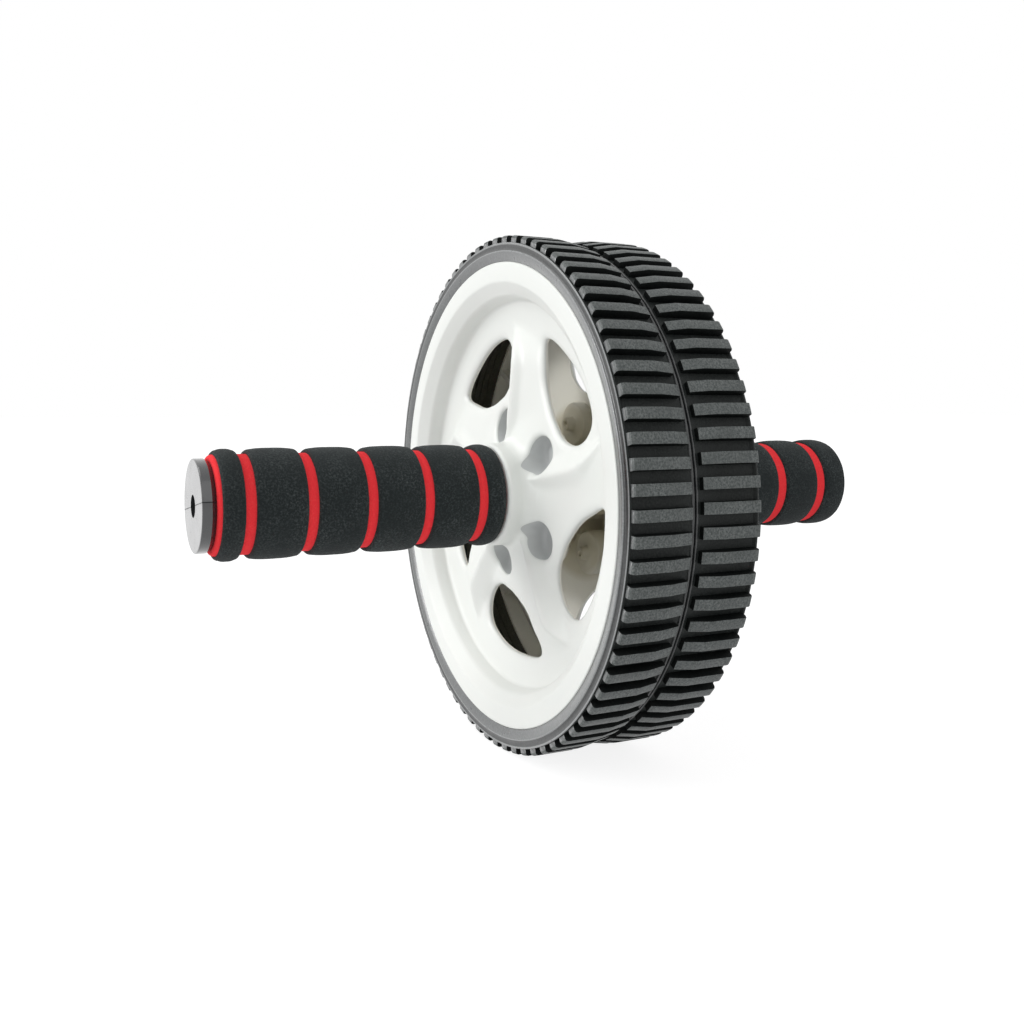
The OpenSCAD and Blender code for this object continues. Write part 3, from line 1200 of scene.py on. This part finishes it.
    def draw_hub(self, sketch: Sketch) -> None:
        """Draw the hub boss with the bush tube and its webs.

        Args:
            sketch: The piece being drawn.
        """
        top, seat = self.hub_half, self.hub_half - self.flange_h
        shoulder_r, shoulder = self.hub_r - self.hub_round, self.hub_half - self.hub_round
        boss = [(self.hub_r, top - self.hub_step), (self.hub_r, shoulder)]
        boss += arc(shoulder_r, shoulder, self.hub_round, 0, 90, 6)
        boss += [(self.flange_r, top), (self.flange_r, seat), (self.bore_r, seat),
                 (self.bore_r, self.tube_half), (self.tube_r, self.tube_half)]
        sketch.revolve(boss, self.round_steps, Shell.OUTSIDE)
        inner_r, ceiling = self.hub_r - self.wall, self.hub_half - self.wall - 1.2
        behind = [(self.tube_r, self.tube_half), (self.tube_r, ceiling), (inner_r, ceiling),
                  (inner_r, self.disc_half + self.hub_rise)]
        sketch.revolve(behind, self.round_steps, Shell.INSIDE)
        low, high = self.disc_half - 2, self.hub_half - self.wall
        web = [(self.tube_r - 0.4, low), (inner_r + 0.4, low), (inner_r + 0.4, high),
               (self.tube_r - 0.4, high)]
        for i in range(ARMS):
            sketch.web(web, self.recess_lead + (i + 0.5) * SECTOR, self.wall / 2, Shell.INSIDE)

    def build(self) -> Piece:
        """Build the wheel in place of its plain solid.

        Returns:
            The wheel.
        """
        node = f"{self.side.value}_wheel"
        finishes = [self.finishes[surface] for surface in Shell]
        obj = self.draw().build(f"{node}_moulding", self.side, finishes, self.turn, sharp=50.0)
        stand_in(obj, f"{node}_set", node)
        return obj


@dataclass
class Tyre:
    """One rubber tyre: a ring with a bulging sidewall, a hollow shoulder band and a row of cross lugs."""

    side: Side
    lead: float
    finishes: dict[Skin, Finish]
    # The ring: its seat on the wheel, the bed and the marks inside it, and the gap at the seam.
    tyre_r: float = 92.5
    seat_r: float = 83.45
    seat_half: float = 11.95
    bed_drop: float = 1.5
    marks: int = 3
    mark_pitch: float = 2.6
    tyre_gap: float = 0.4
    # Crest of the sidewall.
    crest_r: float = 87.0
    crest_half: float = 24.15
    # Lugs: crown_drop is their fall towards the seam, from crown_level of their half length inward.
    lug_count: int = 76
    lug_h: float = 3.2
    lug_w: float = 3.8
    lug_edge: float = 1.0
    tread_half: float = 23.05
    seam_half: float = 2.05
    crown_drop: float = 1.2
    crown_level: float = 0.33
    edge: float = 0.2
    wobble: float = 0.04
    round_steps: int = 304

    # One mark inside, as steps inward from the bed and outward along the axle.
    MARK = ((0.0, 0.0), (0.8, 0.3), (0.8, 0.9), (0.0, 1.2))
    # The shoulder beyond the sidewall, as steps from the crest's radius and height.
    CREST_LINE = ((0.0, 0.0), (0.2, -0.1), (0.3, -0.32))
    HOLLOW = ((0.5, -0.5), (1.3, -0.64), (2.3, -0.48))
    RIDGE = ((2.55, -0.36), (2.8, -0.36), (2.98, -0.52))
    FALL = ((3.05, -0.8), (3.05, -1.2))
    # The bead beside the seam, as steps from the floor's radius, and heights.
    BEAD = ((0.28, 1.08), (0.46, 0.86), (0.5, 0.62), (0.42, 0.4), (0.2, 0.25))
    # Stations along a lug, as shares of its half length from its middle.
    STATIONS = (-0.98, -0.8, -0.55, -0.33, 0.0, 0.4, 0.8)
    # Seeds of the differences between the lugs.
    SEEDS = {Side.RIGHT: 7, Side.LEFT: 8}

    def body_profile(self) -> list[tuple[Skin, Profile]]:
        """Section of the ring in stretches, from its inside round over the sidewall to the bead.

        Returns:
            Each stretch with its surface. It starts where the one before it ends.
        """
        floor_r, bed_r = self.tyre_r - self.lug_h, self.seat_r - self.bed_drop
        crest, top = self.crest_r, self.crest_half

        def shoulder(steps: Table) -> Profile:
            """The points at steps from the crest."""
            return [(crest + out, top + up) for out, up in steps]

        inner = [(bed_r, self.tyre_gap / 2)]
        for i in range(1, self.marks + 1):
            inner += [(bed_r - down, self.mark_pitch * i + along) for down, along in self.MARK]
        inner += [(bed_r, self.seat_half), (self.seat_r, self.seat_half), (self.seat_r, top - 1.0)]
        wall = [(self.seat_r + 0.2, top - 0.8), (crest - 0.6, top - 0.12), (crest - 0.2, top - 0.01)]
        floor = [*shoulder(self.FALL), (floor_r, top - 2.0), (floor_r, 1.2)]
        bead = [(floor_r + up, h) for up, h in self.BEAD] + [(floor_r - 0.6, self.tyre_gap / 2), inner[0]]
        stretches = [(Skin.INSIDE, inner)]
        # Painted light and shade along the section: the sidewall is lighter, the crest and ridge lighter
        # still as painted highlights, and the shoulder's hollow, the floor and the bead darker as painted
        # shade.
        for skin, points in ((Skin.WALL, wall), (Skin.CREST, shoulder(self.CREST_LINE)),
                             (Skin.BAND, shoulder(self.HOLLOW)), (Skin.CREST, shoulder(self.RIDGE)),
                             (Skin.FLOOR, floor), (Skin.BAND, bead)):
            stretches.append((skin, [stretches[-1][1][-1], *points]))
        return stretches

    def lug_stations(self) -> Profile:
        """Stations of a lug's top along its length, falling to the seam and chamfered at the outer end.

        Returns:
            The stations, as height outward and radius.
        """
        half = (self.tread_half - self.seam_half) / 2
        level, c = self.crown_level, self.lug_edge
        top = [(self.seam_half + half + half * u,
                self.tyre_r - self.crown_drop * max(0.0, -u - level) / (1.0 - level)) for u in self.STATIONS]
        return [(self.seam_half, top[0][1] - self.edge), *top, (self.tread_half - c, self.tyre_r),
                (self.tread_half - 0.3 * c, self.tyre_r - 0.3 * c), (self.tread_half, self.tyre_r - c)]

    def draw_lug(self, sketch: Sketch, clock: float, luck: float) -> None:
        """Draw one lug.

        Args:
            sketch: The piece being drawn.
            clock: The clock angle of its middle.
            luck: How far its top is off the others', from -1 to 1.
        """
        e, w = self.edge, self.lug_w / 2
        low = self.tyre_r - self.lug_h - 0.5
        rows = []
        for h, r in self.lug_stations():
            top = r + self.wobble * luck
            section = [(-w, low), (-w, top - e), (-w + 0.3 * e, top - 0.3 * e), (-w + e, top),
                       (0.0, top + 0.02), (w - e, top), (w - 0.3 * e, top - 0.3 * e), (w, top - e), (w, low)]
            rows.append(sketch.add(spin(np.array([(across, out, h) for across, out in section]), clock)))
        for row, after in zip(rows[:-1], rows[1:]):
            for i in range(len(row)):
                j = (i + 1) % len(row)
                # The lug's sides and inner end take the black flank finish, painted shade; its outer end
                # takes the lighter wall finish, painted light.
                sketch.face([row[i], row[j], after[j], after[i]], Skin.TOP if 2 <= i <= 5 else Skin.FLANK)
        sketch.face(rows[0], Skin.FLANK)
        sketch.face(rows[-1], Skin.WALL)

    def build(self) -> Piece:
        """Build the tyre in place of its plain solid.

        Returns:
            The tyre.
        """
        sketch = Sketch()
        for skin, stretch in self.body_profile():
            sketch.revolve(stretch, self.round_steps, skin)
        draws = np.random.default_rng(self.SEEDS[self.side]).uniform(-1, 1, self.lug_count)
        for i, luck in enumerate(draws):
            self.draw_lug(sketch, i * 360.0 / self.lug_count, float(luck))
        node = f"{self.side.value}_tyre"
        finishes = [self.finishes[skin] for skin in Skin]
        obj = sketch.build(f"{node}_rubber", self.side, finishes, self.lead, sharp=35.0)
        stand_in(obj, f"{self.side.value}_wheel_set", node)
        return obj


@dataclass
class Grip:
    """The foam on one handle: a red sleeve with six black bands."""

    side: Side
    black: Finish
    red: Finish
    # The foam's bore and ends, and how far its outer end and grooves are slid out along the core.
    core_r: float = 14.05
    foam_start: float = 26.7
    foam_end: float = 125.4
    slid: float = 0.0
    # Sleeve and bands: puff is a band's swelling in its middle, cover is how far the last one runs past
    # the sleeve's end.
    sleeve_r: float = 16.4
    sleeve_edge: float = 1.4
    start_round: float = 0.7
    band_r: float = 18.2
    puff: float = 0.42
    end_round: float = 1.25
    groove_round: float = 1.1
    cover: float = -1.4
    # Grooves, by the middle of the first one.
    groove_start: float = 35.2
    groove_pitch: float = 20.0
    groove_w: float = 3.4
    grooves: int = 5
    round_steps: int = 160

    # Waves round the foam, and how uneven the sleeve and the bands are.
    WAVES = (2, 3, 5, 11, 23)
    SLEEVE_UNEVEN = 0.08
    BAND_UNEVEN = 0.14
    # Seeds of the unevenness. A band adds its number.
    SLEEVE_SEEDS = {Side.RIGHT: 11, Side.LEFT: 12}
    BAND_SEEDS = {Side.RIGHT: 20, Side.LEFT: 40}

    @classmethod
    def on(cls, side: Side, black: Finish, red: Finish) -> "Grip":
        """The grip of one side. The left one is slid out over its core's flange and has wider grooves.

        Args:
            side: The side.
            black: The bands' finish.
            red: The sleeve's finish.

        Returns:
            The grip.
        """
        if side is Side.RIGHT:
            return cls(side, black, red)
        return cls(side, black, red, slid=1.6, band_r=17.7, cover=2.6, groove_w=4.0)

    def soften(self, profile: Profile, name: str, finish: Finish, uneven: float, seed: int) -> Piece:
        """Turn a closed profile into a foam ring whose skin is slightly uneven.

        Args:
            profile: Points as radius and height.
            name: The piece's name.
            finish: Its finish.
            uneven: How much its skin rises and falls, in millimetres.
            seed: Which pattern of rise and fall it has.

        Returns:
            The piece.
        """
        n, waves = self.round_steps, len(self.WAVES)
        phases = np.random.default_rng(seed).uniform(0, 360, (len(profile), waves))
        clock = np.arange(n) * 360.0 / n
        loops = []
        for (r, h), phase in zip(profile, phases):
            swell = np.zeros(n)
            if r > self.core_r + 0.5:
                for k, p in zip(self.WAVES, phase):
                    swell += np.sin(np.radians(k * clock + phases[0][k % waves] + 0.15 * p)) / (1 + 0.25 * k)
            loops.append(np.column_stack([*polar(clock, r + uneven * 0.4 * swell), np.full(n, h)]))
        sketch = Sketch()
        sketch.skin(loops + [loops[0]], 0)
        return sketch.build(name, self.side, [finish], turn=0.0, sharp=60.0)

    def seat(self, obj: Piece, node: str, slot: Slot) -> Piece:
        """Seat a foam piece on the handle in place of its plain solid.

        Args:
            obj: The piece.
            node: The solid that it stands for.
            slot: Its material slot, which is not used.

        Returns:
            The piece.
        """
        stand_in(obj, "handle_bar", node)
        return obj

    def build_sleeve(self) -> Piece:
        """Build the red sleeve.

        Returns:
            The sleeve.
        """
        e, s, start, end = self.sleeve_edge, self.start_round, self.foam_start, self.foam_end + self.slid
        profile = [(self.core_r, start)]
        profile += arc(self.sleeve_r - s, start + s, s, -90, 0, 5)
        profile += [(self.sleeve_r, h) for h in np.linspace(start + 1.5, end - e - 0.6, 50)]
        profile += arc(self.sleeve_r - e, end - e, e, 0, 90, 7)
        profile += [(self.core_r + 0.3, end), (self.core_r + 0.16, end - 0.4), (self.core_r, end - 1.4)]
        node = f"{self.side.value}_inner_sleeve"
        obj = self.soften(profile, f"{node}_foam", self.red, self.SLEEVE_UNEVEN, self.SLEEVE_SEEDS[self.side])
        return self.seat(obj, node, Slot.RED_FOAM)

    def build_band(self, i: int) -> Piece:
        """Build one black band.

        Args:
            i: Its number, counted from the wheel.

        Returns:
            The band.
        """
        first, last = i == 1, i == self.grooves + 1
        groove = self.groove_start + self.slid + (i - 1) * self.groove_pitch
        start = self.foam_start if first else groove - self.groove_pitch + self.groove_w / 2
        end = self.foam_end + self.slid + self.cover if last else groove - self.groove_w / 2
        near = self.end_round if first else self.groove_round
        far = self.end_round if last else self.groove_round
        inner, edge_r = self.sleeve_r + 0.05, self.band_r - self.puff
        profile = [(inner, start + (self.start_round if first else 0.0))]
        profile += arc(edge_r - near, start + near, near, -90, 0, 6)
        length = end - start - near - far
        profile += [(edge_r + self.puff * (1 - abs(2 * t - 1) ** 3), start + near + length * t)
                    for t in np.linspace(0.06, 0.94, 15)]
        profile += arc(edge_r - far, end - far, far, 0, 90, 6)
        profile += [(inner, end)]
        seed = self.BAND_SEEDS[self.side] + i
        obj = self.soften(profile, f"{self.side.value}_grip_band_{i}", self.black, self.BAND_UNEVEN, seed)
        return self.seat(obj, f"{self.side.value}_foam_band_{i}", Slot.BLACK_FOAM)

    def build(self) -> list[Piece]:
        """Build all the foam of this handle."""
        return [self.build_sleeve()] + [self.build_band(i) for i in range(1, self.grooves + 2)]


@dataclass
class RunningGear:
    """The rigid inner pieces, which keep their solids and get finishes: cores, axle, bushes, washers."""

    core: Finish
    bush: Finish
    steel: Finish
    washer: Finish
    core_edge: float = 0.18
    sharp: float = 50.0

    def soften_edges(self, obj: Piece) -> None:
        """Round the sharp edges of a core.

        Args:
            obj: The core's solid.
        """
        edges = obj.modifiers.new("soft_edges", "BEVEL")
        edges.width = self.core_edge * MM
        edges.segments = 2
        edges.limit_method = "ANGLE"
        edges.angle_limit = math.radians(self.sharp)
        edges.harden_normals = True

    def dress(self) -> list[str]:
        """Give each solid its finish.

        Returns:
            The names of the solids.
        """
        nodes = {"axle": self.steel, "centre_washer": self.washer}
        for side in Side:
            nodes[f"{side.value}_core_upper"] = self.core
            nodes[f"{side.value}_core_lower"] = self.core
            nodes[f"{side.value}_hub_bush"] = self.bush
            nodes[f"{side.value}_thrust_washer"] = self.washer
        for name, finish in nodes.items():
            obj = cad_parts[name]
            obj.data.materials.clear()
            obj.data.materials.append(finish)
            if finish is self.core:
                self.soften_edges(obj)
        return sorted(nodes)


@dataclass(frozen=True)
class Lamp:
    """A soft lamp, far enough away to light evenly."""

    name: str
    stands: tuple[float, float, float]
    strength: float
    spread: float
    colour: Colour = (1.0, 1.0, 1.0)

    def hang(self) -> None:
        """Hang the lamp so that it shines on the object."""
        data = bpy.data.lights.new(self.name, "SUN")
        data.energy = self.strength
        data.angle = math.radians(self.spread)
        data.color = self.colour
        put(self.name, data).rotation_euler = (-Vector(self.stands)).to_track_quat("-Z", "Y").to_euler()


@dataclass
class Studio:
    """The pale floor, the white surroundings, the soft lamps and the camera."""

    floor_z: float
    # Camera: its place in metres, its turn and tilt in radians, its focal length and level in pixels.
    eye: tuple[float, float, float] = (0.3529, -0.1950, 0.0318)
    yaw: float = 0.46920
    tilt: float = -0.03793
    focal: float = 1083.84
    middle_y: float = 447.54
    picture: float = 1024.0
    sensor: float = 36.0
    # Surroundings and floor.
    fill_level: float = 0.44
    floor_reach: float = 12.0
    floor_colour: Colour = (0.90, 0.90, 0.91)
    floor_lift: float = 0.86
    floor_seen: float = 0.34

    LAMPS = (Lamp("key", (-0.35, -0.90, 1.0), 1.15, 50.0), Lamp("front", (-0.33, -1.0, 0.30), 0.9, 24.0),
             Lamp("side", (1.0, -0.15, 0.9), 0.4, 60.0, (0.97, 0.98, 1.0)))

    def build_camera(self) -> None:
        """Set the camera where the photograph was taken from."""
        data = bpy.data.cameras.new("photograph_view")
        data.sensor_width = self.sensor
        data.lens = self.focal / self.picture * self.sensor
        data.shift_y = (self.middle_y - self.picture / 2) / self.picture
        data.clip_start = 0.01
        data.clip_end = 100.0
        level = math.cos(self.tilt)
        forward = Vector((-math.cos(self.yaw) * level, math.sin(self.yaw) * level, math.sin(self.tilt)))
        obj = put("photograph_view", data)
        obj.rotation_euler = forward.to_track_quat("-Z", "Y").to_euler()
        obj.location = self.eye
        bpy.context.scene.camera = obj

    def build_surroundings(self) -> None:
        """Surround the object with plain white that lights it softly."""
        world = bpy.data.worlds.new("white_surroundings")
        world.use_nodes = True
        bpy.context.scene.world = world
        bench = NodeBench(world.node_tree)
        back = next(n for n in bench.tree.nodes if n.type == "BACKGROUND")
        back.inputs["Color"].default_value = (1.0, 1.0, 1.0, 1.0)
        level = bench.remap(bench.seen_directly(), (0.0, 1.0), (self.fill_level, 1.0))
        bench.link(level, back.inputs["Strength"])

    def build_floor(self) -> None:
        """Lay the pale floor."""
        r = Recipe("pale_floor")
        seen = tuple(self.floor_seen * c for c in self.floor_colour)
        mottle = r.remap(r.noise(3.0, 2.0), MOST, (0.97, 1.0))
        share = r.maths("MULTIPLY", r.seen_directly(), mottle)
        r.drive(Base_Color=r.blend(share, self.floor_colour, seen),
                Emission_Strength=r.maths("MULTIPLY", r.seen_directly(), self.floor_lift))
        r.fixed(Roughness=0.9, Specular_IOR_Level=0.0, Emission_Color=(1.0, 1.0, 1.0, 1.0))
        mesh = bpy.data.meshes.new("floor")
        reach = self.floor_reach
        corners = ((-reach, -reach), (reach, -reach), (reach, reach), (-reach, reach))
        mesh.from_pydata([(x, y, self.floor_z) for x, y in corners], [], [(0, 1, 2, 3)])
        mesh.materials.append(r.finish)
        put("floor", mesh)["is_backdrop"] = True

    def build(self) -> None:
        """Build the whole studio."""
        self.build_camera()
        self.build_surroundings()
        self.build_floor()
        for lamp in self.LAMPS:
            lamp.hang()
        bpy.context.scene.view_settings.view_transform = "Standard"


WHEEL_FINISHES = {
    Shell.OUTSIDE: MouldedPlastic("white_plastic_face", (0.852, 0.872, 0.838), (0.832, 0.852, 0.818)),
    # The back is paler than the face: painted light on what is seen through the windows. It is darker round
    # the axle, as painted shade.
    Shell.INSIDE: MouldedPlastic("white_plastic_back_painted_light", (0.94, 0.93, 0.85), (0.92, 0.905, 0.82), 0.42,
                                 painted_hub_shade=(0.74, 0.70, 0.57)),
    # The recess walls are a darker copy of the white plastic: painted shade.
    Shell.WELL: MouldedPlastic("white_plastic_recess_painted_shade", (0.59, 0.605, 0.60), (0.56, 0.575, 0.57), 0.4),
}
# Apart from the tops, these are darker and lighter copies of one rubber, with painted shade and painted
# light.
TYRE_FINISHES = {
    # A black copy of the rubber on the lugs' sides and inner ends: painted shade.
    Skin.FLANK: Rubber("tyre_rubber_flanks_painted_shade", (0.003, 0.004, 0.004), (0.010, 0.012, 0.011), 0.6, specular=0.1),
    Skin.TOP: Rubber("tyre_rubber_tops", (0.037, 0.045, 0.043), (0.168, 0.182, 0.177), 0.48,
                     line_at=0.01255),
    # A lighter copy of the rubber on the sidewall and the lugs' outer ends: painted light.
    Skin.WALL: Rubber("tyre_rubber_wall_painted_light", (0.10, 0.106, 0.106), (0.16, 0.168, 0.168), 0.32, coat=0.8),
    # A near-black copy of the rubber on the floor between the lugs: painted shade.
    Skin.FLOOR: Rubber("tyre_rubber_floor_painted_shade", (0.010, 0.0125, 0.012), (0.030, 0.034, 0.032), 0.5,
                       specular=0.2),
    # A lighter, olive copy of the rubber inside the ring: painted light bounced off the plastic inside the
    # wheel.
    Skin.INSIDE: Rubber("tyre_rubber_inside_painted_light", (0.06, 0.06, 0.046), (0.10, 0.10, 0.076), 0.6, specular=0.3),
    # A near-black copy of the rubber in the shoulder's hollow and on the seam bead: painted shade.
    Skin.BAND: Rubber("tyre_rubber_band_painted_shade", (0.012, 0.014, 0.014), (0.045, 0.048, 0.048), 0.34, coat=0.4),
    # A pale copy of the rubber on the crest and the ridge: a painted highlight along their rounded edges.
    Skin.CREST: Rubber("tyre_rubber_crest_painted_highlight", (0.19, 0.20, 0.20), (0.27, 0.28, 0.28), 0.3, coat=0.8),
}
BLACK_FOAM = Foam("black_grip_foam", (0.011, 0.0155, 0.016), (0.075, 0.088, 0.088), sheen=0.05, bare=0.46)
RED_FOAM = Foam("red_grip_foam", (0.97, 0.040, 0.050), (0.99, 0.08, 0.08), cells=1500.0)
CORE = SplitPlastic("dark_core_plastic", (0.024, 0.026, 0.028), (0.032, 0.034, 0.036), 0.22,
                    coat=1.0, grain=0.05)
BUSH = MouldedPlastic("ivory_bush_plastic", (0.72, 0.69, 0.60), (0.68, 0.65, 0.56), 0.4)
AXLE = TurnedSteel("axle_steel", (0.56, 0.57, 0.58))
WASHER = TurnedSteel("washer_steel_bright", (0.62, 0.62, 0.62))

# How far each wheel and each tyre's first lug are turned clockwise, seen from outside, in degrees.
WHEEL_TURN = {Side.RIGHT: 42.5, Side.LEFT: -17.0}
LUG_LEAD = {Side.RIGHT: 0.0, Side.LEFT: 0.8}


def as_lists(box: tuple) -> list[list[float]]:
    """A box's corners as plain lists."""
    return [[float(c) for c in corner] for corner in box]


def main() -> None:
    """Build every piece of the roller, then the studio."""
    logging.basicConfig(level=logging.INFO, format="%(message)s")
    cad_box = as_lists(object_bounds())
    shells = {surface: finish.make() for surface, finish in WHEEL_FINISHES.items()}
    skins = {surface: finish.make() for surface, finish in TYRE_FINISHES.items()}
    black, red = BLACK_FOAM.make(), RED_FOAM.make()
    for side in Side:
        LOG.info("built %s", Wheel(side, WHEEL_TURN[side], shells).build().name)
        LOG.info("built %s", Tyre(side, LUG_LEAD[side], skins).build().name)
        for piece in Grip.on(side, black, red).build():
            LOG.info("built %s", piece.name)
    for name in RunningGear(CORE.make(), BUSH.make(), AXLE.make(), WASHER.make()).dress():
        LOG.info("dressed %s", name)
    Studio(floor_z=cad_box[0][2]).build()


if __name__ == "__main__":
    main()
